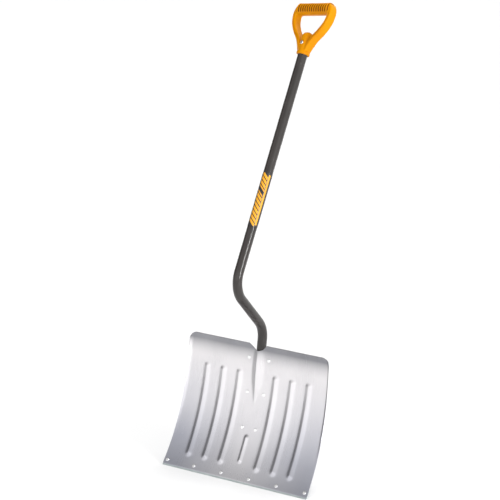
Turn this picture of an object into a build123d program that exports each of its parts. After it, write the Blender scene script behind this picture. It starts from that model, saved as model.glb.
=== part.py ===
"""Snow shovel with an aluminium scoop, an S-bent steel shaft and a D-grip.

Row frame: the origin is the middle of the cutting edge, +Z is up, the hollow of the scoop
faces -Y, and the shovel leans back the way it is held while pushing.

The tool frame is used for every outline: X across, "forward" out of the scoop, and "rise"
along the straight part of the shaft, with its zero on the cutting edge.
"""
from build123d import *
from math import asin, atan, cos, degrees, radians, sin, sqrt
import os

os.makedirs("parts", exist_ok=True)

# ---- Driving dimensions, in millimetres and degrees -------------------------------------
LEAN = 30.0                 # shaft leans back from the vertical

SHEET_T = 1.3               # scoop sheet
SCOOP_R = 600.0             # hollow of the scoop, front face
SCOOP_DEEPEST = 90.0        # rise of its deepest point
SHEET_BOTTOM = 4.0          # the strip shows below the sheet
BEND_RISE = 343.0           # where the top lip starts
LIP_LENGTH = 20.0
LIP_ANGLE = 48.0            # lip, measured from the shaft's direction
HALF_WIDTH = 228.6          # at the cutting edge (18 in across)
TOP_HALF_WIDTH = 219.5
TOP_CORNER_R = 22.0
BOTTOM_CORNER_R = 6.0
NOTCH_TOP = 27.5            # half-widths of the V-notch for the shaft
NOTCH_FOOT = 14.6
SIDE_FLANGE = 8.0           # side flange height at the top
FLANGE_FOOT = 110.0         # rise where it has faded away

RIB_XS = (57.0, 108.5, 160.5)
RIB_WIDTH = 20.0
RIB_HEIGHT = 3.6
RIB_LOW, RIB_HIGH = 38.0, 290.0
SHORT_RIB_LOW, SHORT_RIB_HIGH = 51.0, 127.0
SHORT_RIB_WIDTH = 14.0

STRIP_T = 1.6
STRIP_TOP = 26.0
STRIP_RIVET_XS = (-218.0, -131.0, -44.0, 44.0, 131.0, 218.0)
STRIP_RIVET_RISE = 15.5

TUBE_D = 25.4
TUBE_WALL = 1.5
SHAFT_FORWARD = 246.0       # straight shaft, ahead of the cutting edge
LOW_CORNER = (65.0, 403.0)  # corners of the S-bend: forward, rise
HIGH_CORNER = (SHAFT_FORWARD, 456.0)
TUBE_SLOPE = 0.38           # forward per rise, below the S-bend
TUBE_FOOT = 165.0           # rise of the tube's lower end
TUBE_HEAD = 1146.0          # rise of its upper end, inside the grip
LOW_BEND_R, HIGH_BEND_R = 60.0, 65.0

BRACKET_T = 1.8
BRACKET_LOW, BRACKET_HIGH = 130.0, 336.0
BRACKET_RIVETS = {"upper": (31.0, 323.0), "middle": (25.5, 236.5), "lower": (21.0, 144.5)}
BRACKET_EDGE = 8.5          # rivet to the bracket's side edge
SHAFT_RIVET_RISE = 190.0

RIVET_D = 4.8
RIVET_HEAD_D = 9.6
RIVET_HEAD_H = 1.9
CLEAR = 0.1                 # gap between pieces that fit together

GRIP_TWIST = 15.0           # degrees round the shaft, the grip's right end forward
GRIP_LOW, GRIP_HIGH = 1096.0, 1238.0
GRIP_DEPTH = 28.0
GRIP_HALF_WIDTH = 69.5
BAR_D = 32.0
BAR_PROUD = 0.25            # the bar stands this much over the arms' ends
BAR_RISE = GRIP_HIGH - BAR_D / 2 + BAR_PROUD
SOCKET_D = 32.0
COLLAR_D, COLLAR_H = 35.0, 8.0
HUB_TOP = 1158.0
WINDOW_LOW, WINDOW_HIGH = 1146.0, GRIP_HIGH - BAR_D   # hand opening
ARM_EDGE_R = 2.8
RIDGE_COUNT = 14
RIDGE_PITCH = 8.3
RIDGE_WIDTH = 3.2
RIDGE_HEIGHT = 1.0
RIDGE_REACH = 9.6           # the ridges end this far below the bar's middle
GRIP_RIVET_RISE = 1126.0

LABEL_LOW, LABEL_HIGH = 625.0, 768.0
LABEL_T = 0.3

# every sheet rivet: name -> across, rise, thickness that it clamps
RIVETS = {
    f"strip_rivet_{number}": (x, STRIP_RIVET_RISE, SHEET_T + CLEAR + STRIP_T)
    for number, x in enumerate(STRIP_RIVET_XS, start=1)
}
for place, (across, rise) in BRACKET_RIVETS.items():
    for hand, sign in (("left", -1), ("right", 1)):
        RIVETS[f"bracket_rivet_{place}_{hand}"] = (sign * across, rise, SHEET_T + CLEAR + BRACKET_T)

# ---- Planes of the tool frame -----------------------------------------------------------
lean = radians(LEAN)
RISE = Vector(0, sin(lean), cos(lean))
FORWARD = Vector(0, -cos(lean), sin(lean))
side = Plane(origin=(0, 0, 0), x_dir=FORWARD, z_dir=(-1, 0, 0))   # local x forward, y rise
front = Plane(origin=(0, 0, 0), x_dir=(1, 0, 0), z_dir=FORWARD)   # local x across, y rise

# the grip has its own two planes, which meet on the shaft's axis
SHAFT_ORIGIN = FORWARD * SHAFT_FORWARD
twist = radians(GRIP_TWIST)
GRIP_ACROSS = Vector(1, 0, 0) * cos(twist) + FORWARD * sin(twist)
GRIP_AHEAD = FORWARD * cos(twist) - Vector(1, 0, 0) * sin(twist)
grip_front = Plane(origin=SHAFT_ORIGIN, x_dir=GRIP_ACROSS, z_dir=GRIP_AHEAD)
grip_side = Plane(origin=SHAFT_ORIGIN, x_dir=GRIP_AHEAD, z_dir=-GRIP_ACROSS)

FAR = 300.0                 # longer than the scoop is wide, for cuts right through
BACK_R = SCOOP_R + SHEET_T + CLEAR          # where the pieces behind the sheet start
STRIP_MID_R = BACK_R + STRIP_T / 2
ARC_FORWARD = sqrt(STRIP_MID_R**2 - SCOOP_DEEPEST**2)   # puts the strip's middle on the origin
ARC_CENTRE = (ARC_FORWARD, SCOOP_DEEPEST)


def arc_angle(rise, radius):
    """Angle on a scoop arc, from its centre, of the point at this rise."""
    return 180 - degrees(asin((rise - SCOOP_DEEPEST) / radius))


def scoop_arc(radius, low, high):
    """Side-view arc concentric with the scoop, drawn upwards."""
    start, stop = arc_angle(low, radius), arc_angle(high, radius)
    return CenterArc(ARC_CENTRE, radius, start, stop - start)


def scoop_forward(rise, radius=SCOOP_R):
    return ARC_FORWARD - sqrt(radius**2 - (rise - SCOOP_DEEPEST) ** 2)


def half_width(rise):
    return HALF_WIDTH + (TOP_HALF_WIDTH - HALF_WIDTH) * rise / BEND_RISE


def scoop_plane(x, rise, radius):
    """Plane on a scoop arc, with z pointing out of the hollow."""
    slope = asin((rise - SCOOP_DEEPEST) / SCOOP_R)
    normal = FORWARD * cos(slope) - RISE * sin(slope)
    foot = radius - SCOOP_R
    centre = FORWARD * (ARC_FORWARD - SCOOP_R * cos(slope)) + RISE * rise
    return Plane(origin=centre - normal * foot + Vector(x, 0, 0), x_dir=(1, 0, 0), z_dir=normal)


def slot_outline(x, low, high, width):
    """Front-view stadium, for a BuildSketch on the front plane."""
    with Locations((x, (low + high) / 2)):
        SlotOverall(high - low, width, rotation=90)


# ---- Shaft line -------------------------------------------------------------------------
TUBE_END = (LOW_CORNER[0] - TUBE_SLOPE * (LOW_CORNER[1] - TUBE_FOOT), TUBE_FOOT)
tube_angle = atan(TUBE_SLOPE)
socket_dir = FORWARD * sin(tube_angle) + RISE * cos(tube_angle)
SOCKET_RUN = (BRACKET_HIGH - TUBE_FOOT) / cos(tube_angle) + 30.0


def tube_point(rise):
    """Point on the tube's lower straight axis."""
    return FORWARD * (LOW_CORNER[0] - TUBE_SLOPE * (LOW_CORNER[1] - rise)) + RISE * rise


def tube_plane(rise):
    """Plane across the lower tube, x to the side and y out of the hollow."""
    return Plane(origin=tube_point(rise), x_dir=(-1, 0, 0), z_dir=socket_dir)


with BuildPart() as shaft_tube:
    with BuildLine(side) as shaft_line:
        Polyline(TUBE_END, LOW_CORNER, HIGH_CORNER, (SHAFT_FORWARD, TUBE_HEAD))
        corners = shaft_line.vertices().sort_by(Axis((0, 0, 0), RISE))
        fillet(corners[1], radius=LOW_BEND_R)
        corners = shaft_line.vertices().sort_by(Axis((0, 0, 0), RISE))
        fillet(corners[-2], radius=HIGH_BEND_R)
    with BuildSketch(tube_plane(TUBE_FOOT)):
        Circle(TUBE_D / 2)
        Circle(TUBE_D / 2 - TUBE_WALL, mode=Mode.SUBTRACT)
    sweep(path=shaft_line.wire())
    with BuildSketch(side):
        with Locations((tube_point(SHAFT_RIVET_RISE).dot(FORWARD), SHAFT_RIVET_RISE)):
            Circle(RIVET_D / 2 + CLEAR)
    extrude(amount=FAR, both=True, mode=Mode.SUBTRACT)
    with BuildSketch(grip_front):
        with Locations((0, GRIP_RIVET_RISE)):
            Circle(RIVET_D / 2 + CLEAR)
    extrude(amount=TUBE_D, both=True, mode=Mode.SUBTRACT)
shaft_tube.part.label = "shaft_tube"
export_step(shaft_tube.part, "parts/shaft_tube.step")

# ---- Scoop ------------------------------------------------------------------------------
BEND_POINT = (scoop_forward(BEND_RISE), BEND_RISE)
LIP_END = (
    BEND_POINT[0] + LIP_LENGTH * sin(radians(LIP_ANGLE)),
    BEND_RISE + LIP_LENGTH * cos(radians(LIP_ANGLE)),
)

with BuildPart() as spine_skin:     # outside of the raised channel over the shaft
    with BuildSketch(tube_plane(TUBE_FOOT)):
        Circle(TUBE_D / 2 + 2 * CLEAR + SHEET_T)
    extrude(amount=SOCKET_RUN)
    with BuildSketch(side):
        with BuildLine():
            back = scoop_arc(SCOOP_R + SHEET_T / 2, TUBE_FOOT - 60, BEND_RISE - 1)
            behind = Vector(-FAR, 0)
            Polyline(back @ 1, (back @ 1) + behind, (back @ 0) + behind, back @ 0)
        make_face()
    extrude(amount=FAR, both=True, mode=Mode.SUBTRACT)
    with BuildSketch(front):
        with Locations((0, BEND_RISE + FAR / 2)):
            Rectangle(FAR, FAR)
    extrude(amount=FAR, both=True, mode=Mode.SUBTRACT)

with BuildPart() as side_flanges:   # low drawn edges that fade out towards the bottom
    with BuildSketch(side):
        with BuildLine():
            root = scoop_arc(SCOOP_R + SHEET_T / 2, FLANGE_FOOT, BEND_RISE)
            head = Line(root @ 1, (root @ 1) + Vector(SIDE_FLANGE, 0))
            ThreePointArc(root @ 0, (root @ 0.5) + Vector(SIDE_FLANGE / 2, 0), head @ 1)
        make_face()
    extrude(amount=FAR, both=True)
    with BuildSketch(front):
        with BuildLine():
            foot, head = FLANGE_FOOT - 5, BEND_RISE + 5
            Polyline(
                (half_width(foot), foot), (half_width(head), head),
                (half_width(head) - SHEET_T, head), (half_width(foot) - SHEET_T, foot),
                close=True,
            )
        make_face()
        mirror(about=Plane.YZ)
    extrude(amount=FAR, both=True, mode=Mode.INTERSECT)


def beads(inset, inner_r, outer_r):
    """All stiffening beads as solids between two scoop arcs, drawn in by the inset."""
    with BuildPart() as pads:
        with BuildSketch(front):
            for x in RIB_XS:
                for across in (-x, x):
                    slot_outline(across, RIB_LOW + inset, RIB_HIGH - inset, RIB_WIDTH - 2 * inset)
            slot_outline(
                0, SHORT_RIB_LOW + inset, SHORT_RIB_HIGH - inset, SHORT_RIB_WIDTH - 2 * inset
            )
        extrude(amount=FAR, both=True)
        with BuildSketch(side):
            with BuildLine():
                inner = scoop_arc(inner_r, RIB_LOW - RIB_WIDTH, RIB_HIGH + RIB_WIDTH)
                outer = scoop_arc(outer_r, RIB_LOW - RIB_WIDTH, RIB_HIGH + RIB_WIDTH)
                Line(inner @ 0, outer @ 0)
                Line(inner @ 1, outer @ 1)
            make_face()
        extrude(amount=FAR, both=True, mode=Mode.INTERSECT)
    return pads.part


with BuildPart() as blade:
    with BuildSketch(side):
        with BuildLine():
            hollow = scoop_arc(SCOOP_R, SHEET_BOTTOM, BEND_RISE)
            Line(hollow @ 1, LIP_END)
            offset(amount=SHEET_T, side=Side.LEFT)
        make_face()
    extrude(amount=HALF_WIDTH, both=True)
    add(beads(0, SCOOP_R - RIB_HEIGHT, SCOOP_R + SHEET_T / 2))
    add(beads(SHEET_T, SCOOP_R + SHEET_T - RIB_HEIGHT, SCOOP_R + 2 * SHEET_T), mode=Mode.SUBTRACT)
    add(side_flanges.part)
    add(spine_skin.part)
    # room for the tube behind the spine
    with BuildSketch(tube_plane(TUBE_FOOT)):
        Circle(TUBE_D / 2 + 2 * CLEAR)
    extrude(amount=SOCKET_RUN, mode=Mode.SUBTRACT)
    # outline of the sheet, with its rounded corners and the V-notch
    with BuildSketch(front) as outline:
        with BuildLine():
            Polyline(
                (-half_width(0), 0), (half_width(0), 0),
                (half_width(LIP_END[1]), LIP_END[1] + 1), (-half_width(LIP_END[1]), LIP_END[1] + 1),
                close=True,
            )
        make_face()
        fillet(outline.vertices().group_by(Axis.Y)[-1], radius=TOP_CORNER_R)
        with BuildLine():
            Polyline(
                (-NOTCH_TOP, LIP_END[1] + 1), (-NOTCH_FOOT, BEND_RISE - 4),
                (NOTCH_FOOT, BEND_RISE - 4), (NOTCH_TOP, LIP_END[1] + 1),
                close=True,
            )
        make_face(mode=Mode.SUBTRACT)
    extrude(amount=FAR, both=True, mode=Mode.INTERSECT)
    for x, rise, _ in RIVETS.values():
        with BuildSketch(scoop_plane(x, rise, SCOOP_R)):
            Circle(RIVET_D / 2 + CLEAR)
        extrude(amount=RIVET_HEAD_D, both=True, mode=Mode.SUBTRACT)
blade.part.label = "blade"
export_step(blade.part, "parts/blade.step")

with BuildPart() as wear_strip:
    with BuildSketch(side):
        with BuildLine():
            inner = scoop_arc(BACK_R, -STRIP_T, STRIP_TOP)
            outer = scoop_arc(BACK_R + STRIP_T, -STRIP_T, STRIP_TOP)
            Line(inner @ 0, outer @ 0)
            Line(inner @ 1, outer @ 1)
        make_face()
    extrude(amount=HALF_WIDTH, both=True)
    corners = wear_strip.edges().filter_by(lambda edge: abs(edge.length - STRIP_T) < CLEAR)
    fillet(corners, radius=BOTTOM_CORNER_R / 2)
    for x in STRIP_RIVET_XS:
        with BuildSketch(scoop_plane(x, STRIP_RIVET_RISE, SCOOP_R)):
            Circle(RIVET_D / 2 + CLEAR)
        extrude(amount=RIVET_HEAD_D, both=True, mode=Mode.SUBTRACT)
    # ground flat where it meets the pavement
    split(bisect_by=Plane.XY, keep=Keep.TOP)
wear_strip.part.label = "wear_strip"
export_step(wear_strip.part, "parts/wear_strip.step")

# ---- Socket bracket behind the scoop ----------------------------------------------------
CHANNEL_FOOT = 150.0        # rise where the tube's channel is closed off
CHANNEL_IN = TUBE_D / 2 + CLEAR
CHANNEL_OUT = CHANNEL_IN + BRACKET_T
low_rivet, high_rivet = BRACKET_RIVETS["lower"], BRACKET_RIVETS["upper"]
edge_taper = (high_rivet[0] - low_rivet[0]) / (high_rivet[1] - low_rivet[1])


def bracket_half_width(rise):
    return low_rivet[0] + BRACKET_EDGE + edge_taper * (rise - low_rivet[1])


def channel_profile(radius):
    """U-shape open towards the sheet, for a BuildSketch on a tube plane."""
    Circle(radius)
    with Locations((0, FAR / 4)):
        Rectangle(2 * radius, FAR / 2)


with BuildPart() as back_bracket:
    with BuildSketch(tube_plane(CHANNEL_FOOT - BRACKET_T)):
        channel_profile(CHANNEL_OUT)
    extrude(amount=SOCKET_RUN)
    with BuildSketch(side):
        with BuildLine():
            Polyline((-FAR, BRACKET_LOW), (FAR, BRACKET_LOW), (FAR, BRACKET_HIGH),
                     (-FAR, BRACKET_HIGH), close=True)
        make_face()
    extrude(amount=FAR, both=True, mode=Mode.INTERSECT)
    with BuildSketch(side):
        with BuildLine():
            inner = scoop_arc(BACK_R, BRACKET_LOW, BRACKET_HIGH)
            outer = scoop_arc(BACK_R + BRACKET_T, BRACKET_LOW, BRACKET_HIGH)
            Line(inner @ 0, outer @ 0)
            Line(inner @ 1, outer @ 1)
        make_face()
    extrude(amount=bracket_half_width(BRACKET_HIGH), both=True)
    # nothing in front of the sheet's back, and a tapered outline
    with BuildSketch(side):
        with BuildLine():
            face = scoop_arc(BACK_R, BRACKET_LOW - BRACKET_EDGE, BRACKET_HIGH + BRACKET_EDGE)
            Polyline(face @ 1, (-FAR, (face @ 1).Y), (-FAR, (face @ 0).Y), face @ 0)
        make_face()
    extrude(amount=FAR, both=True, mode=Mode.INTERSECT)
    with BuildSketch(front) as outline:
        with BuildLine():
            foot, head = BRACKET_LOW, BRACKET_HIGH
            Polyline(
                (-bracket_half_width(foot), foot), (bracket_half_width(foot), foot),
                (bracket_half_width(head), head), (-bracket_half_width(head), head),
                close=True,
            )
        make_face()
        fillet(outline.vertices(), radius=BRACKET_EDGE)
    extrude(amount=FAR, both=True, mode=Mode.INTERSECT)
    with BuildSketch(tube_plane(CHANNEL_FOOT)):
        channel_profile(CHANNEL_IN)
    extrude(amount=SOCKET_RUN, mode=Mode.SUBTRACT)
    for across, rise in BRACKET_RIVETS.values():
        for x in (-across, across):
            with BuildSketch(scoop_plane(x, rise, SCOOP_R)):
                Circle(RIVET_D / 2 + CLEAR)
            extrude(amount=RIVET_HEAD_D, both=True, mode=Mode.SUBTRACT)
    with BuildSketch(side):
        with Locations((tube_point(SHAFT_RIVET_RISE).dot(FORWARD), SHAFT_RIVET_RISE)):
            Circle(RIVET_D / 2 + CLEAR)
    extrude(amount=FAR, both=True, mode=Mode.SUBTRACT)
back_bracket.part.label = "back_bracket"
export_step(back_bracket.part, "parts/back_bracket.step")

# ---- Rivets -----------------------------------------------------------------------------


def make_rivet(head_plane, stack):
    """Domed rivet: the head stands on the plane and the tail is set behind the stack."""
    grip = stack + CLEAR
    with BuildPart() as rivet:
        with BuildSketch(head_plane):
            Circle(RIVET_HEAD_D / 2)
        extrude(amount=RIVET_HEAD_H)
        crown = rivet.faces().sort_by(Axis(head_plane.origin, head_plane.z_dir))[-1]
        fillet(crown.edges(), radius=0.8 * RIVET_HEAD_H)
        with BuildSketch(head_plane):
            Circle(RIVET_D / 2)
        extrude(amount=-grip)
        with BuildSketch(head_plane.offset(-grip)):
            Circle(RIVET_D * 0.8)
        extrude(amount=-RIVET_HEAD_H * 0.8)
    return rivet


for name, (x, rise, stack) in RIVETS.items():
    rivet = make_rivet(scoop_plane(x, rise, SCOOP_R - CLEAR / 2), stack)
    rivet.part.label = name
    export_step(rivet.part, f"parts/{name}.step")

cross_plane = Plane(
    origin=tube_point(SHAFT_RIVET_RISE) + Vector(CHANNEL_OUT + CLEAR / 2, 0, 0), z_dir=(1, 0, 0)
)
shaft_rivet = make_rivet(cross_plane, 2 * CHANNEL_OUT)
shaft_rivet.part.label = "shaft_rivet"
export_step(shaft_rivet.part, "parts/shaft_rivet.step")

# ---- D-grip -----------------------------------------------------------------------------
shaft_axis = Axis(SHAFT_ORIGIN, RISE)
# corners of the arm's outline, from the socket to the bar: across, rise
ARM_OUTER = ((14, GRIP_LOW + 4), (22.7, 1120), (31.2, 1136.5), (49.7, 1156.5), (65, 1180), (69.5, 1203))
DOME_H = SOCKET_D / 4
DOME_R = (SOCKET_D**2 / 4 + DOME_H**2) / (2 * DOME_H)
dome_angle = asin(SOCKET_D / 2 / DOME_R)
ARM_INNER = ((22, WINDOW_LOW), (41.5, 1164), (55, 1184), (58.5, 1200))

with BuildPart() as d_grip:
    with BuildSketch(grip_front):
        with BuildLine():
            arm = Spline(*ARM_OUTER)
            corner = ThreePointArc(arm @ 1, (66, 1226), (53, GRIP_HIGH))
            Polyline(corner @ 1, (0, GRIP_HIGH), (0, GRIP_LOW + 4), arm @ 0)
        make_face()
        with BuildLine():
            inner_arm = Spline(*ARM_INNER)
            inner_corner = ThreePointArc(inner_arm @ 1, (57, 1204.5), (53, WINDOW_HIGH))
            Polyline(inner_corner @ 1, (0, WINDOW_HIGH), (0, WINDOW_LOW), inner_arm @ 0)
        make_face(mode=Mode.SUBTRACT)
        mirror(about=Plane.YZ)
    extrude(amount=GRIP_DEPTH / 2, both=True)
    rims = d_grip.faces().filter_by(grip_front).edges()
    fillet(rims, radius=ARM_EDGE_R)
    # hand bar with finger ridges on its front and top
    with BuildSketch(grip_side):
        with Locations((0, BAR_RISE)):
            Circle(BAR_D / 2)
    extrude(amount=GRIP_HALF_WIDTH - BAR_D / 2, both=True)
    for number in range(RIDGE_COUNT):
        x = (number - (RIDGE_COUNT - 1) / 2) * RIDGE_PITCH
        with BuildSketch(grip_side.offset(x - RIDGE_WIDTH / 2)):
            with Locations((0, BAR_RISE)):
                Circle(BAR_D / 2 + RIDGE_HEIGHT)
            with Locations((0, BAR_RISE - BAR_D / 2 - RIDGE_REACH)):
                Rectangle(2 * BAR_D, BAR_D, mode=Mode.SUBTRACT)
        extrude(amount=RIDGE_WIDTH)
    # socket with a domed top and a collar at its mouth
    with BuildSketch(grip_side):
        with BuildLine():
            wall = Polyline(
                (0, GRIP_LOW),
                (COLLAR_D / 2, GRIP_LOW),
                (COLLAR_D / 2, GRIP_LOW + COLLAR_H),
                (SOCKET_D / 2, GRIP_LOW + 1.5 * COLLAR_H),
                (SOCKET_D / 2, HUB_TOP - DOME_H),
            )
            dome = ThreePointArc(
                wall @ 1,
                (DOME_R * sin(dome_angle / 2), HUB_TOP - DOME_R + DOME_R * cos(dome_angle / 2)),
                (0, HUB_TOP),
            )
            Line(dome @ 1, wall @ 0)
        make_face()
    revolve(axis=shaft_axis)
    with BuildSketch(Plane(origin=SHAFT_ORIGIN + RISE * GRIP_LOW, z_dir=RISE)):
        Circle(TUBE_D / 2 + CLEAR)
    extrude(amount=TUBE_HEAD + 1 - GRIP_LOW, mode=Mode.SUBTRACT)
    with BuildSketch(grip_front):
        with Locations((0, GRIP_RIVET_RISE)):
            Circle(RIVET_D / 2 + CLEAR)
    extrude(amount=SOCKET_D, both=True, mode=Mode.SUBTRACT)
    # flat seats for the rivet's two heads
    for sign in (-1, 1):
        with BuildSketch(grip_front.offset(sign * (SOCKET_D / 2 - 1))):
            with Locations((0, GRIP_RIVET_RISE)):
                Circle(RIVET_HEAD_D / 2 + 0.5)
        extrude(amount=sign * RIVET_HEAD_D, mode=Mode.SUBTRACT)
d_grip.part.label = "d_grip"
export_step(d_grip.part, "parts/d_grip.step")

seat = SOCKET_D / 2 - 1 + CLEAR / 2
rivet_plane = Plane(
    origin=SHAFT_ORIGIN + GRIP_AHEAD * seat + RISE * GRIP_RIVET_RISE,
    x_dir=GRIP_ACROSS,
    z_dir=GRIP_AHEAD,
)
grip_rivet = make_rivet(rivet_plane, 2 * seat - CLEAR)
grip_rivet.part.label = "grip_rivet"
export_step(grip_rivet.part, "parts/grip_rivet.step")

# ---- Wrap-round label on the straight shaft ---------------------------------------------
with BuildPart() as shaft_label:
    with BuildSketch(Plane(origin=SHAFT_ORIGIN + RISE * LABEL_LOW, z_dir=RISE)):
        Circle(TUBE_D / 2 + CLEAR / 2 + LABEL_T)
        Circle(TUBE_D / 2 + CLEAR / 2, mode=Mode.SUBTRACT)
    extrude(amount=LABEL_HIGH - LABEL_LOW)
shaft_label.part.label = "shaft_label"
export_step(shaft_label.part, "parts/shaft_label.step")
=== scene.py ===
"""Looks for the snow shovel: ribbed aluminium scoop, S-bent painted shaft and orange D-grip.

Every outline is worked out in the tool frame, in millimetres: X across, "forward" out of the
scoop and "rise" along the straight shaft, with zero on the cutting edge. row_points() turns
tool-frame points into the row frame, in metres.
"""

from math import asin, cos, degrees, pi, radians, sin, sqrt, tan

import bmesh
import bpy
import numpy as np
from mathutils import Matrix, Vector


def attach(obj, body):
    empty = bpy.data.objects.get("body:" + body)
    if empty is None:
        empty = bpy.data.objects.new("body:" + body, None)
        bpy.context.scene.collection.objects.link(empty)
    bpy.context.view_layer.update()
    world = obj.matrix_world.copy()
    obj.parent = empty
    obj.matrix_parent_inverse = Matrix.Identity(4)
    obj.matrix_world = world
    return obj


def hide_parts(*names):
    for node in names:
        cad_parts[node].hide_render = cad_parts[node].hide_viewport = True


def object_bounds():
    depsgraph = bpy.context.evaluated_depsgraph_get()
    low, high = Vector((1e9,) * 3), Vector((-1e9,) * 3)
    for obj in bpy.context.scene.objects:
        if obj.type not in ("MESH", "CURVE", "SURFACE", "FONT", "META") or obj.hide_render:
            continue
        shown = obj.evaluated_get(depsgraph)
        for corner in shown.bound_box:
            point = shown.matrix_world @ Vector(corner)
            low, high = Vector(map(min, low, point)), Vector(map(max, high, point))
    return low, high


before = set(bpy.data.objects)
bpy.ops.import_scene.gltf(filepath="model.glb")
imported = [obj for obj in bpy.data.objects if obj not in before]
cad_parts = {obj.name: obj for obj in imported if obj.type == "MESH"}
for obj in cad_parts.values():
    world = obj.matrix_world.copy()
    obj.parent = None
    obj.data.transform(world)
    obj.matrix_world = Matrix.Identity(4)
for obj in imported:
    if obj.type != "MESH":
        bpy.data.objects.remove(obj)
CAD_LOW, CAD_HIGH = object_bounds()
MM = 0.001

# ---- The design's own sizes, in millimetres ---------------------------------------------
LEAN = radians(30)
FORWARD = np.array([0, -cos(LEAN), sin(LEAN)])
RISE = np.array([0, sin(LEAN), cos(LEAN)])

SHEET_T = 1.3
SCOOP_R = 600.0
DEEPEST = 90.0
SHEET_BOTTOM = 4.0
BEND_RISE = 343.0
LIP_LENGTH = 20.0
LIP_ANGLE = radians(48)
HALF_WIDTH = 228.6
TOP_HALF_WIDTH = 219.5
TOP_CORNER_R = 22.0
BOTTOM_CORNER_R = 5.0
NOTCH_TOP = 27.5
NOTCH_FOOT = 14.0
FLANGE_HEIGHT = 8.0
FLANGE_FOOT = 110.0
RIB_XS = (57.0, 108.5, 160.5)
RIB_WIDTH = 21.0
RIB_HEIGHT = 3.8
RIB_LOW, RIB_HIGH = 38.0, 290.0
SHORT_RIB = (51.0, 127.0, 14.0)     # low, high, width
STRIP_MID = 0.9                     # wear strip's middle, behind the sheet's back
NOTCH_BED = ((0, 1.0), (7, 2.0), (NOTCH_FOOT - 1, 5.0))     # across, and up from the lip's bend
FLANGE_WIDTH = 9.0                  # of the sheet's edge that curls forward
TUBE_GAP = 0.3                      # between the tube and the sheet's back
SPINE_LIFT = 3.4                    # of the spine's crest, over the sheet that wraps the tube
SPINE_SLOPE = 0.58                  # of the spine's roof-like sides
SPINE_ROUND = 1.2                   # half width of its rounded crest

TUBE_R = 12.7
TUBE_WALL = 1.5
SHAFT_FORWARD = 246.0
LOW_CORNER = (65.0, 403.0)
HIGH_CORNER = (SHAFT_FORWARD, 456.0)
TUBE_SLOPE = 0.38
TUBE_FOOT = 165.0
TUBE_HEAD = 1146.0
BEND_RS = (60.0, 65.0)

ARC_FORWARD = sqrt((SCOOP_R + SHEET_T + STRIP_MID) ** 2 - DEEPEST**2)


def row_points(across, forward, rise):
    """Tool-frame coordinates in millimetres to an (n, 3) array in the row frame, in metres."""
    across, forward, rise = np.broadcast_arrays(across, forward, rise)
    flat = (across.ravel()[:, None] * [1, 0, 0] + forward.ravel()[:, None] * FORWARD
            + rise.ravel()[:, None] * RISE)
    return flat * MM


def new_object(name, points, faces):
    mesh = bpy.data.meshes.new(name)
    mesh.from_pydata([tuple(p) for p in points], [], [tuple(f) for f in faces])
    mesh.update()
    mesh.shade_smooth()
    piece = bpy.data.objects.new(name, mesh)
    bpy.context.scene.collection.objects.link(piece)
    return piece


def soften_edges(piece, width):
    """Rounds a piece's sharp edges. Width is in millimetres."""
    edge = piece.modifiers.new("edge", "BEVEL")
    edge.width = width * MM
    edge.segments = 2
    edge.limit_method = "ANGLE"
    edge.angle_limit = radians(60)


def smoothstep(low, high, x):
    t = np.clip((x - low) / (high - low), 0, 1)
    return t * t * (3 - 2 * t)


# ---- Scoop ------------------------------------------------------------------------------
# The sheet is a height field over the scoop's arc: "arc" is the length along it, in mm.


def arc_at(rise):
    return SCOOP_R * np.arcsin((np.asarray(rise, float) - DEEPEST) / SCOOP_R)


def half_width_at(rise):
    return HALF_WIDTH + (TOP_HALF_WIDTH - HALF_WIDTH) * rise / BEND_RISE


BEND_FORWARD = ARC_FORWARD - sqrt(SCOOP_R**2 - (BEND_RISE - DEEPEST) ** 2)
LIP_FORWARD = BEND_FORWARD + LIP_LENGTH * sin(LIP_ANGLE)
LIP_RISE = BEND_RISE + LIP_LENGTH * cos(LIP_ANGLE)
ARC_LOW = float(arc_at(SHEET_BOTTOM))
ARC_BEND = float(arc_at(BEND_RISE))
lip_vector = np.array([LIP_FORWARD - ARC_FORWARD, LIP_RISE - DEEPEST])
ARC_TOP = SCOOP_R * asin(lip_vector[1] / np.hypot(*lip_vector))
LIP_HEIGHT = SCOOP_R - np.hypot(*lip_vector)


def tube_axis_height(arc):
    """Height of the lower tube's axis over the scoop's front face, along its normal."""
    phi = arc / SCOOP_R
    forward0 = ARC_FORWARD - SCOOP_R * np.cos(phi)
    rise0 = DEEPEST + SCOOP_R * np.sin(phi)
    # axis: forward = LOW_CORNER[0] - slope * (LOW_CORNER[1] - rise); go along the normal to it
    gap = LOW_CORNER[0] - TUBE_SLOPE * (LOW_CORNER[1] - rise0) - forward0
    return gap / (np.cos(phi) + TUBE_SLOPE * np.sin(phi))


def smooth_max(a, b, k):
    h = np.clip(0.5 + 0.5 * (a - b) / k, 0, 1)
    return b * (1 - h) + a * h + k * h * (1 - h)


def bead(x, arc, centre, low, high, width, height):
    """Pressed bead with rounded ends: a tent with a rounded crest and feet."""
    lower, upper = arc_at(low) + width / 2, arc_at(high) - width / 2
    along = np.clip(arc, lower, upper)
    dist = np.hypot(x - centre, arc - along)
    tent = 1.12 - np.sqrt((2 * dist / width) ** 2 + 0.12**2)
    return height * smooth_max(tent, np.zeros_like(dist), 0.25)


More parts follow.
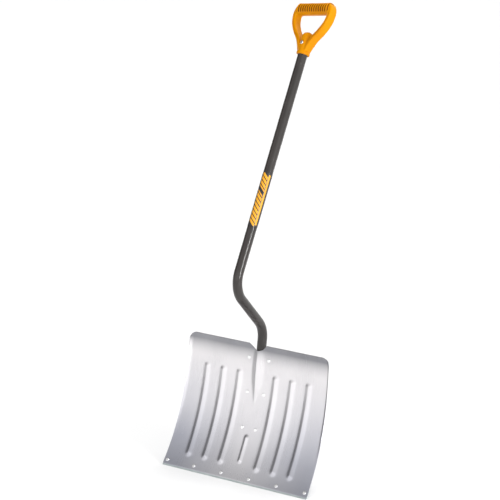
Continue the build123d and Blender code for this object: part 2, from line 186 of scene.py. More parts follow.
def sheet_height(x, arc):
    """Height of the pressed sheet's front face over the scoop's arc."""
    rise = DEEPEST + SCOOP_R * np.sin(arc / SCOOP_R)
    height = np.zeros_like(x)
    for centre in RIB_XS:
        for sign in (-1, 1):
            height += bead(x, arc, sign * centre, RIB_LOW, RIB_HIGH, RIB_WIDTH, RIB_HEIGHT)
    low, high, width = SHORT_RIB
    height += bead(x, arc, 0, low, high, width, 0.8 * RIB_HEIGHT)
    # spine over the tube
    crest = tube_axis_height(arc) + TUBE_R + TUBE_GAP + SHEET_T
    crest = crest + SPINE_LIFT * smoothstep(0, 9, crest)
    roof = crest - SPINE_SLOPE * (np.sqrt(x**2 + SPINE_ROUND**2) - SPINE_ROUND)
    height += smooth_max(roof, np.zeros_like(x), 3.0)
    # side flanges, deeper towards the top
    depth = FLANGE_HEIGHT * smoothstep(FLANGE_FOOT - 40, BEND_RISE, rise) ** 0.8
    inward = np.maximum(half_width_at(rise) - np.abs(x), 0)
    curl = np.clip(1 - inward / FLANGE_WIDTH, 0, 1)
    height += depth * curl**2.2
    # top lip, with a small bend radius
    run = (arc - ARC_BEND) * LIP_HEIGHT / (ARC_TOP - ARC_BEND)
    height = np.maximum(height, 0) + smooth_max(run, np.zeros_like(run), 2.2)
    # hand-pressed sheet is never dead flat
    sway = (0.35 * np.sin(x / 61.0 + 0.7) * np.sin(arc / 83.0 + 1.1)
            + 0.18 * np.sin(x / 27.0 + 2.1) * np.sin(arc / 39.0 + 0.4)
            + 0.10 * np.sin(x / 15.0 + arc / 23.0))
    edge = smoothstep(0, 60, inward) * smoothstep(ARC_LOW, ARC_LOW + 70, arc)
    return height + sway * edge


def x_lines():
    """Across positions of the sheet's grid: close over beads, the spine and the flanges."""
    fine = [np.linspace(-26, 26, 45)]
    for centre in RIB_XS:
        fine.append(np.linspace(centre - 11, centre + 11, 19))
        fine.append(-fine[-1])
    fine.append(np.linspace(HALF_WIDTH - 12, HALF_WIDTH, 17))
    fine.append(-fine[-1])
    lines = np.concatenate(fine)
    coarse = [x for x in np.arange(-212, 213, 4.0) if np.min(np.abs(lines - x)) > 2.2]
    return np.unique(np.round(np.concatenate([lines, coarse]), 4))


def arc_lines():
    body = np.arange(ARC_LOW, ARC_BEND - 6, 2.6)
    bend = np.arange(ARC_BEND - 5, ARC_BEND + 5, 0.8)
    return np.concatenate([body, bend, np.linspace(ARC_BEND + 5.6, ARC_TOP, 9)])


def cut_corner(sheet, centre, radius, x_sign, y_sign, steps):
    """Rounds a convex corner of the flat sheet with tangent cuts."""
    for number in range(steps):
        angle = (number + 0.5) / steps * pi / 2
        normal = Vector((x_sign * cos(angle), y_sign * sin(angle), 0))
        geom = sheet.verts[:] + sheet.edges[:] + sheet.faces[:]
        bmesh.ops.bisect_plane(
            sheet, geom=geom, plane_co=Vector(centre) + normal * radius, plane_no=normal,
            clear_outer=True, dist=1e-4,
        )


def flat_sheet():
    """The blank: a grid in (x, arc), tapered, with rounded corners and the V-notch cut out."""
    xs, arcs = x_lines(), arc_lines()
    grid_x, grid_a = np.meshgrid(xs, arcs)
    rises = DEEPEST + SCOOP_R * np.sin(grid_a / SCOOP_R)
    outer_start = 185.0
    stretch = (half_width_at(rises) - outer_start) / (HALF_WIDTH - outer_start)
    beyond = np.maximum(np.abs(grid_x) - outer_start, 0)
    grid_x = np.where(beyond > 0, np.sign(grid_x) * (outer_start + beyond * stretch), grid_x)
    sheet = bmesh.new()
    verts = [sheet.verts.new((x, a, 0)) for x, a in zip(grid_x.ravel(), grid_a.ravel())]
    wide = len(xs)
    for row in range(len(arcs) - 1):
        for col in range(wide - 1):
            i = row * wide + col
            sheet.faces.new((verts[i], verts[i + 1], verts[i + wide + 1], verts[i + wide]))
    top_half = half_width_at(LIP_RISE)
    for sign in (-1, 1):
        cut_corner(sheet, (sign * (top_half - TOP_CORNER_R), ARC_TOP - TOP_CORNER_R, 0),
                   TOP_CORNER_R, sign, 1, 12)
        low_centre = (sign * (half_width_at(0) - BOTTOM_CORNER_R), ARC_LOW + BOTTOM_CORNER_R, 0)
        cut_corner(sheet, low_centre, BOTTOM_CORNER_R, sign, -1, 5)
    # V-notch with a rounded foot: score along its outline, then drop the faces inside it
    outline = [(across, ARC_BEND + above) for across, above in NOTCH_BED]
    outline.append((NOTCH_TOP, ARC_TOP))
    for sign in (-1, 1):
        for (x0, a0), (x1, a1) in zip(outline, outline[1:]):
            near = [f for f in sheet.faces if abs(f.calc_center_median().x) < 40
                    and f.calc_center_median().y > ARC_BEND - 8]
            geom = list({v for f in near for v in f.verts})
            geom += list({e for f in near for e in f.edges})
            normal = Vector((sign * (a1 - a0), x0 - x1, 0)).normalized()
            bmesh.ops.bisect_plane(sheet, geom=geom + near, plane_co=Vector((sign * x0, a0, 0)),
                                   plane_no=normal, dist=1e-4)
    gone = []
    for face in sheet.faces:
        c = face.calc_center_median()
        if abs(c.x) < NOTCH_TOP and c.y > np.interp(abs(c.x), *np.transpose(outline)):
            gone.append(face)
    bmesh.ops.delete(sheet, geom=gone, context="FACES")
    bmesh.ops.remove_doubles(sheet, verts=sheet.verts[:], dist=0.02)
    return sheet


def make_scoop(material):
    sheet = flat_sheet()
    flat = np.array([v.co[:2] for v in sheet.verts])
    x, arc = flat[:, 0], flat[:, 1]
    height = sheet_height(x, arc)
    phi = arc / SCOOP_R
    reach = SCOOP_R - height
    points = row_points(x, ARC_FORWARD - reach * np.cos(phi), DEEPEST + reach * np.sin(phi))
    for vert, point in zip(sheet.verts, points):
        vert.co = Vector(point)
    bmesh.ops.recalc_face_normals(sheet, faces=sheet.faces[:])
    sheet.faces.ensure_lookup_table()
    if sum(f.normal.y for f in sheet.faces) > 0:        # front face looks towards -Y
        bmesh.ops.reverse_faces(sheet, faces=sheet.faces[:])
    mesh = bpy.data.meshes.new("scoop_sheet")
    sheet.to_mesh(mesh)
    sheet.free()
    mesh.shade_smooth()
    piece = bpy.data.objects.new("scoop_sheet", mesh)
    bpy.context.scene.collection.objects.link(piece)
    solid = piece.modifiers.new("thickness", "SOLIDIFY")
    solid.thickness = SHEET_T * MM
    solid.offset = -1
    solid.use_even_offset = True
    soften_edges(piece, 0.35)
    piece.data.materials.append(material)
    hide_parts("blade")
    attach(piece, "root")


# ---- Shaft ------------------------------------------------------------------------------


def shaft_path():
    """Points and directions along the tube's axis in (forward, rise), straights and arcs."""
    foot = np.array([LOW_CORNER[0] - TUBE_SLOPE * (LOW_CORNER[1] - TUBE_FOOT), TUBE_FOOT])
    corners = [foot, np.array(LOW_CORNER), np.array(HIGH_CORNER),
               np.array([SHAFT_FORWARD, TUBE_HEAD])]
    path = [(foot, (corners[1] - foot) / np.linalg.norm(corners[1] - foot))]
    for before, corner, after, radius in zip(corners, corners[1:], corners[2:], BEND_RS):
        into = (corner - before) / np.linalg.norm(corner - before)
        out = (after - corner) / np.linalg.norm(after - corner)
        turn = np.arccos(np.clip(into @ out, -1, 1))
        hand = np.sign(into[0] * out[1] - into[1] * out[0])
        start = corner - into * radius * tan(turn / 2)
        centre = start + hand * radius * np.array([-into[1], into[0]])
        steps = max(int(degrees(turn) / 3), 2)
        for number in range(steps + 1):
            a = hand * turn * number / steps
            spin = np.array([[cos(a), -sin(a)], [sin(a), cos(a)]])
            path.append((centre + spin @ (start - centre), spin @ into))
    path.append((corners[-1], out))
    return path


def make_shaft(material):
    sides = 56
    angles = np.arange(sides) * 2 * pi / sides
    path = shaft_path()
    refined = [path[0]]
    for (p0, d0), (p1, d1) in zip(path, path[1:]):     # long straights get a few more rings
        count = max(int(np.linalg.norm(p1 - p0) // 40), 1)
        for number in range(1, count + 1):
            t = number / count
            refined.append((p0 + (p1 - p0) * t, d1 if number == count else d0))
    points, faces = [], []
    for radius in (TUBE_R, TUBE_R - TUBE_WALL):
        for place, along in refined:
            across = np.array([along[1], -along[0]])    # in-plane normal, (forward, rise)
            fwd = place[0] + radius * np.cos(angles) * across[0]
            rise = place[1] + radius * np.cos(angles) * across[1]
            points.append(row_points(radius * np.sin(angles), fwd, rise))
    points = np.concatenate(points)
    count = len(refined)
    for layer, flip in ((0, False), (1, True)):
        for ring in range(count - 1):
            base = (layer * count + ring) * sides
            for i in range(sides):
                j = (i + 1) % sides
                quad = (base + i, base + j, base + sides + j, base + sides + i)
                faces.append(quad[::-1] if flip else quad)
    for end, flip in ((0, True), (count - 1, False)):   # annular ends
        outer, inner = end * sides, (count + end) * sides
        for i in range(sides):
            j = (i + 1) % sides
            quad = (outer + i, outer + j, inner + j, inner + i)
            faces.append(quad[::-1] if flip else quad)
    piece = new_object("painted_shaft", points, faces)
    mesh = bmesh.new()
    mesh.from_mesh(piece.data)
    bmesh.ops.recalc_face_normals(mesh, faces=mesh.faces[:])
    mesh.to_mesh(piece.data)
    mesh.free()
    soften_edges(piece, 0.3)
    piece.data.materials.append(material)
    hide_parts("shaft_tube")
    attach(piece, "root")


# ---- Grip: an implicit solid, meshed by surface nets ------------------------------------
GRIP_TWIST = radians(15)
GRIP_ACROSS = np.array([1, 0, 0]) * cos(GRIP_TWIST) + FORWARD * sin(GRIP_TWIST)
GRIP_AHEAD = FORWARD * cos(GRIP_TWIST) - np.array([1, 0, 0]) * sin(GRIP_TWIST)
GRIP_LOW, GRIP_HIGH = 1096.0, 1238.0
BAR_R = 16.0
BAR_RISE = GRIP_HIGH - BAR_R + 0.25
SOCKET_R = 16.0
COLLAR_R, COLLAR_H = 17.5, 8.0
HUB_TOP = 1158.0
RIDGE_COUNT, RIDGE_PITCH, RIDGE_HEIGHT = 14, 8.3, 1.0
RIDGE_HALF = RIDGE_PITCH * RIDGE_COUNT / 2
RIDGE_FROM, RIDGE_TO = -44.0, 118.0     # degrees round the bar, up from straight ahead
GROOVE_DEPTH = 3.0                  # from the ridges' tops
GRIP_RIVET_RISE = 1126.0


def blend_min(a, b, k):
    h = np.clip(0.5 + 0.5 * (b - a) / k, 0, 1)
    return b * (1 - h) + a * h - k * h * (1 - h)


def arm_lines():
    """Arm's centre line in (across, rise) and half its width there."""
    knots = np.array([(10, 1103), (17.5, 1122), (27, 1140), (45, 1160), (59, 1182),
                      (64, 1203), (61.5, 1216), (55, 1222)], float)
    halves = np.array([3.5, 4.8, 5.6, 5.5, 5.3, 5.8, 8.0, 12.0])
    t = np.arange(len(knots))
    fine = np.linspace(0, len(knots) - 1, 60)
    # Catmull-Rom through the knots
    padded = np.vstack([2 * knots[0] - knots[1], knots, 2 * knots[-1] - knots[-2]])
    line = []
    for value in fine:
        i = min(int(value), len(knots) - 2)
        s = value - i
        p0, p1, p2, p3 = padded[i:i + 4]
        line.append(0.5 * (2 * p1 + (p2 - p0) * s + (2 * p0 - 5 * p1 + 4 * p2 - p3) * s**2
                           + (3 * p1 - p0 - 3 * p2 + p3) * s**3))
    return np.array(line), np.interp(fine, t, halves)


def arm_distance(x, rise):
    """Signed 2D distance to the arm's outline, the centre line's distance, and place along it."""
    line, halves = arm_lines()
    best = np.full(x.shape, 1e9)
    centre = np.full(x.shape, 1e9)
    along = np.zeros(x.shape)
    for number in range(len(line) - 1):
        a, b = line[number], line[number + 1]
        ab = b - a
        t = np.clip(((x - a[0]) * ab[0] + (rise - a[1]) * ab[1]) / (ab @ ab), 0, 1)
        dist = np.hypot(x - a[0] - t * ab[0], rise - a[1] - t * ab[1])
        edge = dist - (halves[number] + (halves[number + 1] - halves[number]) * t)
        closer = edge < best
        best = np.where(closer, edge, best)
        centre = np.where(closer, dist, centre)
        along = np.where(closer, (number + t) / (len(line) - 1), along)
    return best, centre, along


def slab(flat_distance, depth, half_depth, rounding):
    """A flat outline given thickness, with rounded rims."""
    a = flat_distance + rounding
    b = np.abs(depth) - half_depth + rounding
    return np.minimum(np.maximum(a, b), 0) + np.hypot(np.maximum(a, 0), np.maximum(b, 0)) - rounding


def grip_field(x, f, r):
    """Signed distance of the grip, with f measured forward from the shaft's axis."""
    ax = np.abs(x)
    flat, centre, along = arm_distance(ax, r)
    half_depth = 11.8 + 1.2 * np.sin(pi * np.clip(along * 1.1, 0, 1))
    arms = slab(flat, f, half_depth, 3.6)
    # a shallow channel along the middle of each arm's front and back faces
    channel = np.hypot(centre / 2.3, (np.abs(f) - half_depth - 0.4) / 2.6) - 1
    fade = smoothstep(0.16, 0.26, along) * (1 - smoothstep(0.74, 0.86, along))
    arms = np.maximum(arms, -(channel * 2.3) - (1 - fade) * 6)
    # hand bar
    from_axis = np.hypot(f, r - BAR_RISE)
    bar = np.maximum(from_axis - BAR_R, ax - 58)
    body = blend_min(arms, bar, 5.0)
    # socket, collar and domed hub
    round_r = np.hypot(x, f)
    shoulder = HUB_TOP - SOCKET_R / 1.15
    socket = np.maximum(slab(round_r - SOCKET_R, r - GRIP_LOW - 40, 40, 2.0), r - shoulder)
    dome = np.sqrt(round_r**2 + (1.15 * (r - shoulder)) ** 2) - SOCKET_R
    hub = np.minimum(socket, dome)
    body = blend_min(body, hub, 1.8)
    collar = slab(round_r - COLLAR_R, r - GRIP_LOW - COLLAR_H / 2, COLLAR_H / 2, 1.2)
    body = blend_min(body, collar, 1.5)
    # finger ridges on the front and top of the bar
    phase = np.cos(2 * pi * x / RIDGE_PITCH + pi)       # an even count, so a groove is in the middle
    angle = np.degrees(np.arctan2(r - BAR_RISE, f))
    reach = smoothstep(RIDGE_FROM, RIDGE_FROM + 12, angle)
    reach = reach * (1 - smoothstep(RIDGE_TO, RIDGE_TO + 16, angle))
    end = 1 - smoothstep(RIDGE_HALF - 1.5, RIDGE_HALF + 1.5, ax)
    on_bar = smoothstep(4.5, 1.5, np.abs(from_axis - BAR_R))
    wave = np.clip(0.5 - 0.75 * phase, 0, 1)
    body = body - RIDGE_HEIGHT * reach * end * on_bar + GROOVE_DEPTH * wave * reach * end * on_bar
    # bore for the tube, flat seats for the rivet's heads
    bore = np.maximum(round_r - TUBE_R - 0.1, r - TUBE_HEAD - 1)
    body = np.maximum(body, -bore)
    seat = np.maximum(np.hypot(x, r - GRIP_RIVET_RISE) - 5.4, SOCKET_R - 1 - np.abs(f))
    return np.maximum(body, -seat)


def surface_nets(field, low, high, pitch):
    """Quad mesh of field's zero surface on a grid, then pulled exactly onto it."""
    axes = [np.arange(a, b + pitch, pitch) for a, b in zip(low, high)]
    grid = np.meshgrid(*axes, indexing="ij")
    values = field(*grid)
    inside = values < 0
    shape = np.array(values.shape)
    corners = [inside[i:shape[0] - 1 + i, j:shape[1] - 1 + j, k:shape[2] - 1 + k]
               for i in (0, 1) for j in (0, 1) for k in (0, 1)]
    filled = sum(c.astype(int) for c in corners)
    active = (filled > 0) & (filled < 8)
    index = np.full(active.shape, -1)
    cells = np.argwhere(active)
    index[active] = np.arange(len(cells))
    points = np.array(low) + (cells + 0.5) * pitch
    faces = []
    for axis in range(3):
        u, v = (axis + 1) % 3, (axis + 2) % 3
        first = inside.take(range(shape[axis] - 1), axis)
        second = inside.take(range(1, shape[axis]), axis)
        for outward in (True, False):
            edge = (first & ~second) if outward else (~first & second)
            spots = np.argwhere(edge)
            keep = (spots[:, u] > 0) & (spots[:, v] > 0)
            keep &= (spots[:, u] < shape[u] - 1) & (spots[:, v] < shape[v] - 1)
            spots = spots[keep]
            quad = []
            for du, dv in ((-1, -1), (0, -1), (0, 0), (-1, 0)):
                cell = spots.copy()
                cell[:, u] += du
                cell[:, v] += dv
                quad.append(index[cell[:, 0], cell[:, 1], cell[:, 2]])
            quad = np.stack(quad, 1)
            faces.append(quad if outward else quad[:, ::-1])
    faces = np.concatenate(faces)
    step = 0.05
    for _ in range(6):
        here = field(*points.T)
        slope = np.stack([
            (field(*(points + np.eye(3)[k] * step).T) - field(*(points - np.eye(3)[k] * step).T))
            / (2 * step) for k in range(3)
        ], 1)
        size = np.maximum((slope**2).sum(1), 0.05)
        move = -here[:, None] * slope / size[:, None]
        length = np.linalg.norm(move, axis=1, keepdims=True)
        points = points + move * np.minimum(1, 0.6 * pitch / np.maximum(length, 1e-9))
    return points, faces


def make_grip(material):
    low, high = (-76.0, -22.0, GRIP_LOW - 3), (76.0, 22.0, GRIP_HIGH + 5)
    points, faces = surface_nets(grip_field, low, high, 1.2)
    x, ahead, rise = points.T
    placed = MM * (x[:, None] * GRIP_ACROSS + ahead[:, None] * GRIP_AHEAD
                   + FORWARD * SHAFT_FORWARD + rise[:, None] * RISE)
    piece = new_object("moulded_grip", placed, faces)
    piece.data.materials.append(material)
    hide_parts("d_grip")
    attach(piece, "root")


# ---- Materials --------------------------------------------------------------------------

RANGE_INPUTS = ("From Min", "From Max", "To Min", "To Max")


class Nodes:
    """A material's node tree, with short calls for the nodes that it needs."""

    def __init__(self, name):
        self.material = bpy.data.materials.new(name)
        self.material.use_nodes = True
        self.tree = self.material.node_tree
        self.shader = self.tree.nodes["Principled BSDF"]

    def add(self, kind, **values):
        node = self.tree.nodes.new(kind)
        for key, value in values.items():
            setattr(node, key, value)
        return node

    def link(self, source, target):
        self.tree.links.new(source, target)

    def place(self, scale=(1, 1, 1), turn=(0, 0, 0)):
        """Object coordinates, scaled per axis and turned to suit the piece."""
        coords = self.add("ShaderNodeTexCoord")
        mapping = self.add("ShaderNodeMapping")
        mapping.inputs["Scale"].default_value = scale
        mapping.inputs["Rotation"].default_value = turn
        self.link(coords.outputs["Object"], mapping.inputs["Vector"])
        return mapping.outputs["Vector"]

    def noise(self, vector, scale, detail=4.0, rough=0.55):
        node = self.add("ShaderNodeTexNoise")
        node.inputs["Scale"].default_value = scale
        node.inputs["Detail"].default_value = detail
        node.inputs["Roughness"].default_value = rough
        self.link(vector, node.inputs["Vector"])
        return node.outputs["Fac"]

    def tones(self, value, low, high):
        """A colour that goes from low to high as value goes from 0.3 to 0.7."""
        node = self.add("ShaderNodeValToRGB")
        for element, place, color in zip(node.color_ramp.elements, (0.3, 0.7), (low, high)):
            element.position = place
            element.color = (*color, 1)
        self.link(value, node.inputs["Fac"])
        return node.outputs["Color"]

    def span(self, value, low, high, to_low, to_high):
        node = self.add("ShaderNodeMapRange")
        for key, number in zip(RANGE_INPUTS, (low, high, to_low, to_high)):
            node.inputs[key].default_value = number
        self.link(value, node.inputs["Value"])
        return node.outputs["Result"]

    def math(self, operation, a, b=None):
        node = self.add("ShaderNodeMath", operation=operation)
        for slot, value in zip(node.inputs, (a, b)):
            if value is None:
                continue
            if isinstance(value, (int, float)):
                slot.default_value = value
            else:
                self.link(value, slot)
        return node.outputs[0]

    def mix(self, amount, first, second):
        node = self.add("ShaderNodeMix", data_type="RGBA")
        self.link(amount, node.inputs[0])
        self.link(first, node.inputs[6])
        self.link(second, node.inputs[7])
        return node.outputs[2]

    def dot(self, vector, direction):
        node = self.add("ShaderNodeVectorMath", operation="DOT_PRODUCT")
        node.inputs[1].default_value = tuple(direction)
        self.link(vector, node.inputs[0])
        return node.outputs["Value"]

    def bump(self, height, distance, strength=1.0, under=None):
        node = self.add("ShaderNodeBump")
        node.inputs["Distance"].default_value = distance
        node.inputs["Strength"].default_value = strength
        self.link(height, node.inputs["Height"])
        if under is not None:
            self.link(under, node.inputs["Normal"])
        return node.outputs["Normal"]

    def set(self, **values):
        names = {"color": "Base Color", "rough": "Roughness", "normal": "Normal"}
        for key, value in values.items():
            socket = self.shader.inputs[names.get(key, key.replace("_", " ").title())]
            if hasattr(value, "is_output"):
                self.link(value, socket)
            else:
                socket.default_value = value


LEAN_BACK = (LEAN, 0, 0)     # turns object coordinates so that local z follows the shaft


def sheet_aluminium():
    n = Nodes("sheet_aluminium")
    rolled = n.noise(n.place((900, 40, 9), LEAN_BACK), 1.0, 3.0)
    cloud = n.noise(n.place(), 9.0, 3.0)
    fine = n.noise(n.place(), 420.0, 2.0)
    scuffs = n.noise(n.place((18, 60, 170), LEAN_BACK), 1.0, 6.0, 0.7)
    color = n.tones(cloud, (0.76, 0.74, 0.755), (0.82, 0.80, 0.81))
    # painted shade: the lower corners are drawn darker and bluish, and the folded lip is drawn darker
    # on its front
    where = n.add("ShaderNodeTexCoord").outputs["Object"]
    normal = n.add("ShaderNodeNewGeometry").outputs["Normal"]
    rise = n.dot(where, RISE)
    right = n.dot(where, (1, 0, 0))
    across = n.math("ABSOLUTE", right)
    front = n.span(n.dot(normal, FORWARD), 0.0, 0.3, 0, 1)
    # painted shade: colour darkens towards the lower outer corners
    corner_shade = n.math("MULTIPLY", n.span(rise, 0.31, 0.08, 0, 1), n.span(across, 0.02, 0.20, 0.3, 1))
    color = n.mix(corner_shade, color, n.tones(cloud, (0.40, 0.41, 0.47), (0.46, 0.465, 0.52)))
    # painted shade: the lip's forward-facing front is drawn darker
    lip_shade = n.span(rise, (BEND_RISE - 45) * MM, (BEND_RISE + 3) * MM, 0, 1)
    lip_shade = n.math("MULTIPLY", n.math("POWER", lip_shade, 2.2), front)
    color = n.mix(lip_shade, color, n.tones(cloud, (0.26, 0.26, 0.28), (0.33, 0.33, 0.35)))
    # painted shade: the beads' left flanks and the inside of the right-hand flange are drawn darker
    # where they face left
    leftward = n.dot(normal, (-1, 0, 0))
    left_flank_shade = n.math("MULTIPLY", n.span(leftward, 0.12, 0.42, 0, 1), n.span(rise, 0.12, 0.26, 0, 0.5))
    left_flank_shade = n.math("MULTIPLY", left_flank_shade, front)
    color = n.mix(left_flank_shade, color, n.tones(cloud, (0.22, 0.22, 0.23), (0.28, 0.28, 0.29)))
    # painted shade: the right-hand flange's left-facing inside is drawn near black
    curl = n.math("MULTIPLY", n.span(leftward, 0.35, 0.62, 0, 0.9), n.span(rise, 0.07, 0.17, 0, 1))
    curl = n.math("MULTIPLY", curl, n.math("GREATER_THAN", right, 0.19))
    color = n.mix(curl, color, n.tones(cloud, (0.05, 0.05, 0.055), (0.08, 0.08, 0.085)))
    n.set(color=color, metallic=1.0)
    rough = n.math("ADD", n.span(rolled, 0.3, 0.7, 0.27, 0.35), n.span(cloud, 0.3, 0.7, -0.03, 0.03))
    n.set(rough=rough)
    relief = n.bump(rolled, 0.00002, 0.3)
    relief = n.bump(fine, 0.00002, 0.3, relief)
    n.set(normal=n.bump(scuffs, 0.00003, 0.2, relief))
    return n.material


def galvanised(name, color_low, color_high):
    n = Nodes(name)
    cells = n.add("ShaderNodeTexVoronoi")
    cells.inputs["Scale"].default_value = 160.0
    n.link(n.place((1, 1, 0.6), LEAN_BACK), cells.inputs["Vector"])
    spangle = n.math("FRACT", n.math("MULTIPLY", cells.outputs["Distance"], 7.0))
    cloud = n.noise(n.place(), 30.0, 3.0)
    n.set(color=n.tones(cloud, color_low, color_high), metallic=1.0)
    n.set(rough=n.span(spangle, 0, 1, 0.34, 0.52))
    n.set(normal=n.bump(cloud, 0.0001, 0.2))
    return n.material


def bright_rivet():
    n = Nodes("bright_rivet")
    marks = n.noise(n.place(), 900.0, 4.0)
    n.set(color=n.tones(marks, (0.90, 0.90, 0.91), (0.97, 0.97, 0.97)), metallic=1.0)
    n.set(rough=n.span(marks, 0.3, 0.7, 0.2, 0.34), normal=n.bump(marks, 0.00005, 0.3))
    return n.material


def shaft_paint():
    """Dark satin paint, scuffed, with painted top light: faces that look up get a lighter brown,
    mottled like dust.
    """
    n = Nodes("shaft_paint")
    peel = n.noise(n.place(), 520.0, 2.0)
    cloud = n.noise(n.place((1, 1, 0.25), LEAN_BACK), 34.0, 4.0)
    scuffs = n.noise(n.place((1, 1, 0.5), LEAN_BACK), 75.0, 5.0, 0.7)
    up = n.dot(n.add("ShaderNodeNewGeometry").outputs["Normal"], (0, 0, 1))
    color = n.tones(cloud, (0.021, 0.0175, 0.0165), (0.034, 0.0285, 0.0265))
    # painted light: upward faces get a lighter brown, mottled like dust
    top_light_and_dust = n.math("MULTIPLY", n.span(up, 0.48, 0.76, 0, 0.95), n.span(scuffs, 0.35, 0.65, 0.35, 1))
    color = n.mix(top_light_and_dust, color, n.tones(cloud, (0.19, 0.155, 0.135), (0.26, 0.22, 0.195)))
    worn = n.span(scuffs, 0.62, 0.72, 0, 0.35)
    color = n.mix(worn, color, n.tones(cloud, (0.11, 0.10, 0.10), (0.17, 0.155, 0.15)))
    n.set(color=color, rough=n.span(cloud, 0.3, 0.7, 0.34, 0.46), coat_weight=0.75, coat_roughness=0.07)
    n.shader.inputs["Specular IOR Level"].default_value = 0.12
    n.set(normal=n.bump(peel, 0.00005, 0.3))
    return n.material


def grip_plastic():
    n = Nodes("grip_plastic")
    cloud = n.noise(n.place(), 22.0, 3.0)
    pebble = n.noise(n.place(), 1500.0, 2.0)
    color = n.tones(cloud, (0.63, 0.228, 0.0005), (0.7, 0.277, 0.0005))
    # painted shade: the grooves between the finger ridges are drawn darker
    where = n.add("ShaderNodeTexCoord").outputs["Object"]
    across = n.math("MULTIPLY", n.dot(where, GRIP_ACROSS), 1 / MM)
    ahead = n.math("SUBTRACT", n.dot(where, GRIP_AHEAD), SHAFT_FORWARD * MM * cos(GRIP_TWIST))
    up = n.math("SUBTRACT", n.dot(where, RISE), BAR_RISE * MM)
    across = n.math("SUBTRACT", across, SHAFT_FORWARD * sin(GRIP_TWIST))
    wave = n.math("COSINE", n.math("MULTIPLY", across, 2 * pi / RIDGE_PITCH))
    # painted shade: darker orange in the grooves between the ridges
    groove_shade = n.math("MULTIPLY", n.span(wave, -0.2, 0.2, 0, 1),
                   n.math("LESS_THAN", n.math("ABSOLUTE", across), RIDGE_HALF))
    round_bar = n.math("ARCTAN2", up, ahead)
    start, stop = radians(RIDGE_FROM), radians(RIDGE_TO)
    groove_shade = n.math("MULTIPLY", groove_shade, n.span(round_bar, start, start + radians(10), 0, 0.95))
    groove_shade = n.math("MULTIPLY", groove_shade, n.span(round_bar, stop, stop + radians(14), 1, 0))
    color = n.mix(groove_shade, color, n.tones(cloud, (0.12, 0.026, 0.0005), (0.17, 0.04, 0.001)))
    n.set(color=color, rough=n.span(pebble, 0.3, 0.7, 0.32, 0.44))
    n.shader.inputs["Specular IOR Level"].default_value = 0.08
    n.set(normal=n.bump(pebble, 0.00003, 0.4))
    return n.material


def shaft_direction_empty():
    """An empty on the shaft's axis: local z up the shaft and local -y forward."""
    guide = bpy.data.objects.new("label_axis", None)
    bpy.context.scene.collection.objects.link(guide)
    place = Matrix.Translation(FORWARD * SHAFT_FORWARD * MM)
    guide.matrix_world = place @ Matrix.Rotation(-LEAN, 4, "X")
    return guide


LABEL_LOW, LABEL_HIGH = 625.0, 768.0
DASH_PITCH = 11.5
DASH_SHARE = 0.72                   # of the pitch that is orange
DASH_SLANT = 0.22                   # millimetres down the shaft per degree round it


def label_film(low, high):
    """Dark film with plain slanted orange dashes and an orange side line."""
    n = Nodes("label_film")
    coords = n.add("ShaderNodeTexCoord", object=shaft_direction_empty())
    split = n.add("ShaderNodeSeparateXYZ")
    n.link(coords.outputs["Object"], split.inputs[0])
    ahead = n.math("MULTIPLY", split.outputs["Y"], -1)
    angle = n.math("MULTIPLY", n.math("ARCTAN2", split.outputs["X"], ahead), 180 / pi)
    rise = n.math("MULTIPLY", split.outputs["Z"], 1000)

    def between(value, a, b):
        return n.math("MULTIPLY", n.math("GREATER_THAN", value, a), n.math("LESS_THAN", value, b))

    slanted = n.math("ADD", rise, n.math("MULTIPLY", angle, DASH_SLANT))
    dash = n.math("LESS_THAN", n.math("FRACT", n.math("DIVIDE", slanted, DASH_PITCH)), DASH_SHARE)
    band = n.math("MULTIPLY", between(angle, -24, 47), between(slanted, low + 8, high))
    gap = n.math("SUBTRACT", 1, between(slanted, low + 92, low + 103))
    dashes = n.math("MULTIPLY", n.math("MULTIPLY", dash, band), gap)
    line = n.math("MULTIPLY", between(angle, 54, 76), between(rise, low + 4, high - 4))
    mask = n.math("MAXIMUM", dashes, line)
    cloud = n.noise(n.place(), 60.0, 3.0)
    dark = n.tones(cloud, (0.022, 0.020, 0.020), (0.030, 0.027, 0.027))
    orange = n.tones(cloud, (0.84, 0.36, 0.012), (0.95, 0.44, 0.02))
    n.set(color=n.mix(mask, dark, orange), rough=n.span(cloud, 0.3, 0.7, 0.26, 0.36))
    n.set(normal=n.bump(cloud, 0.0001, 0.15))
    return n.material


# ---- CAD nodes that keep their shape ----------------------------------------------------


def paint_node(node, material):
    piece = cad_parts[node]
    piece.data.materials.clear()
    piece.data.materials.append(material)


# ---- Stage, light and camera ------------------------------------------------------------


def make_floor():
    rings, sides, radius = 24, 96, 30.0
    points, faces = [(0, 0, 0)], []
    for ring in range(1, rings + 1):
        r = radius * (ring / rings) ** 2
        for i in range(sides):
            a = 2 * pi * i / sides
            points.append((r * cos(a), r * sin(a), 0))
    for i in range(sides):
        faces.append((0, 1 + i, 1 + (i + 1) % sides))
    for ring in range(rings - 1):
        for i in range(sides):
            a, b = 1 + ring * sides + i, 1 + ring * sides + (i + 1) % sides
            faces.append((a, a + sides, b + sides, b))
    floor = new_object("floor", points, faces)
    n = Nodes("pale_floor")
    cloud = n.noise(n.place(), 0.6, 2.0)
    n.set(color=n.tones(cloud, (0.86, 0.86, 0.86), (0.88, 0.88, 0.88)), rough=0.9)
    n.shader.inputs["Specular IOR Level"].default_value = 0.1
    floor.data.materials.append(n.material)


def toward(azimuth, elevation):
    """Unit vector away from the shovel. Azimuth 0 is straight in front, 90 at its right."""
    a, e = radians(azimuth), radians(elevation)
    return (sin(a) * cos(e), -cos(a) * cos(e), sin(e))


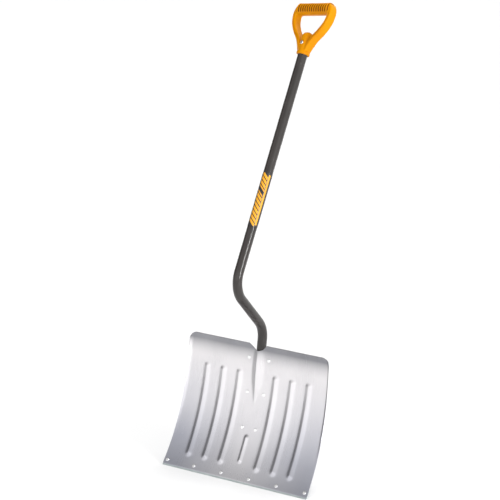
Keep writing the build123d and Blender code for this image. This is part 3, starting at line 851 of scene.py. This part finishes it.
def area_light(name, azimuth, elevation, distance, size, power):
    """A soft box facing the shovel's middle, from the side that toward() gives."""
    middle = (CAD_LOW + CAD_HIGH) / 2
    back = Vector(toward(azimuth, elevation))
    lamp = bpy.data.lights.new(name, "AREA")
    lamp.shape = "RECTANGLE"
    lamp.size, lamp.size_y = size
    lamp.energy = power
    holder = bpy.data.objects.new(name, lamp)
    bpy.context.scene.collection.objects.link(holder)
    holder.location = middle + back * distance
    holder.rotation_mode = "QUATERNION"
    holder.rotation_quaternion = (-back).to_track_quat("-Z", "Y")


ROOM_LEVEL = 1.2
CEILING_POWER, CEILING_SPREAD, CEILING_FROM = 1.75, 40, (175, 74)
WALLS = (                            # azimuth, elevation, half angles inside and outside, level
    (-112, 12, 34, 72, 0.16),
    (-36, 84, 22, 66, 0.37),
    (22, 24, 8, 44, 1.25),
)


def make_light():
    """A white room with a dim wall at its left, a dim ceiling and a brighter patch in front.

    The sun doesn't show in reflections. The narrow lamp draws the shaft's highlight.
    """
    world = bpy.data.worlds.new("studio")
    bpy.context.scene.world = world
    world.use_nodes = True
    tree = world.node_tree
    coords = tree.nodes.new("ShaderNodeTexCoord")
    level = None
    for azimuth, elevation, inside, outside, dim in WALLS:
        dot = tree.nodes.new("ShaderNodeVectorMath")
        dot.operation = "DOT_PRODUCT"
        dot.inputs[1].default_value = toward(azimuth, elevation)
        tree.links.new(coords.outputs["Generated"], dot.inputs[0])
        fade = tree.nodes.new("ShaderNodeMapRange")
        fade.interpolation_type = "SMOOTHSTEP"
        values = (cos(radians(outside)), cos(radians(inside)), 1.0, dim)
        for key, value in zip(RANGE_INPUTS, values):
            fade.inputs[key].default_value = value
        tree.links.new(dot.outputs["Value"], fade.inputs["Value"])
        if level is None:
            level = fade.outputs["Result"]
        else:
            both = tree.nodes.new("ShaderNodeMath")
            both.operation = "MULTIPLY"
            tree.links.new(level, both.inputs[0])
            tree.links.new(fade.outputs["Result"], both.inputs[1])
            level = both.outputs[0]
    tree.links.new(level, tree.nodes["Background"].inputs["Color"])
    tree.nodes["Background"].inputs["Strength"].default_value = ROOM_LEVEL
    area_light("right_strip", 74, 10, 3.4, (0.12, 1.6), 55)
    sun = bpy.data.lights.new("ceiling", "SUN")
    sun.energy = CEILING_POWER
    sun.angle = radians(CEILING_SPREAD)
    holder = bpy.data.objects.new("ceiling", sun)
    bpy.context.scene.collection.objects.link(holder)
    holder.rotation_mode = "QUATERNION"
    holder.rotation_quaternion = Vector(toward(*CEILING_FROM)).to_track_quat("Z", "Y")
    holder.visible_glossy = False
    bpy.context.scene.view_settings.view_transform = "Standard"


CAMERA_TARGET = (0, 0.08805, 0.60523)                      # metres, in the row frame
CAMERA_AZIMUTH, CAMERA_ELEVATION, CAMERA_ROLL = 34.941, 15.596, -0.548
CAMERA_DISTANCE, CAMERA_LENS = 5.7998, 163.01               # metres, millimetres


def make_camera():
    """The camera looks at a point on the middle plane from in front and to the right."""
    target = Vector(CAMERA_TARGET)
    back = Vector(toward(CAMERA_AZIMUTH, CAMERA_ELEVATION))
    camera = bpy.data.cameras.new("camera")
    camera.sensor_width = 36.0
    camera.lens = CAMERA_LENS
    camera.clip_end = 200
    holder = bpy.data.objects.new("camera", camera)
    bpy.context.scene.collection.objects.link(holder)
    holder.location = target + back * CAMERA_DISTANCE
    holder.rotation_mode = "QUATERNION"
    roll = Matrix.Rotation(radians(CAMERA_ROLL), 4, "Z").to_quaternion()
    holder.rotation_quaternion = (-back).to_track_quat("-Z", "Y") @ roll
    bpy.context.scene.camera = holder


make_camera()
make_light()
make_floor()
make_scoop(sheet_aluminium())
make_shaft(shaft_paint())
make_grip(grip_plastic())
zinc = galvanised("zinc_strip", (0.56, 0.63, 0.63), (0.69, 0.75, 0.745))
steel = galvanised("zinc_bracket", (0.55, 0.56, 0.58), (0.66, 0.67, 0.69))
rivet_metal = bright_rivet()
paint_node("wear_strip", zinc)
paint_node("back_bracket", steel)
paint_node("shaft_label", label_film(LABEL_LOW, LABEL_HIGH))
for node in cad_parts:
    if "rivet" in node:
        paint_node(node, rivet_metal)

bpy.context.view_layer.update()
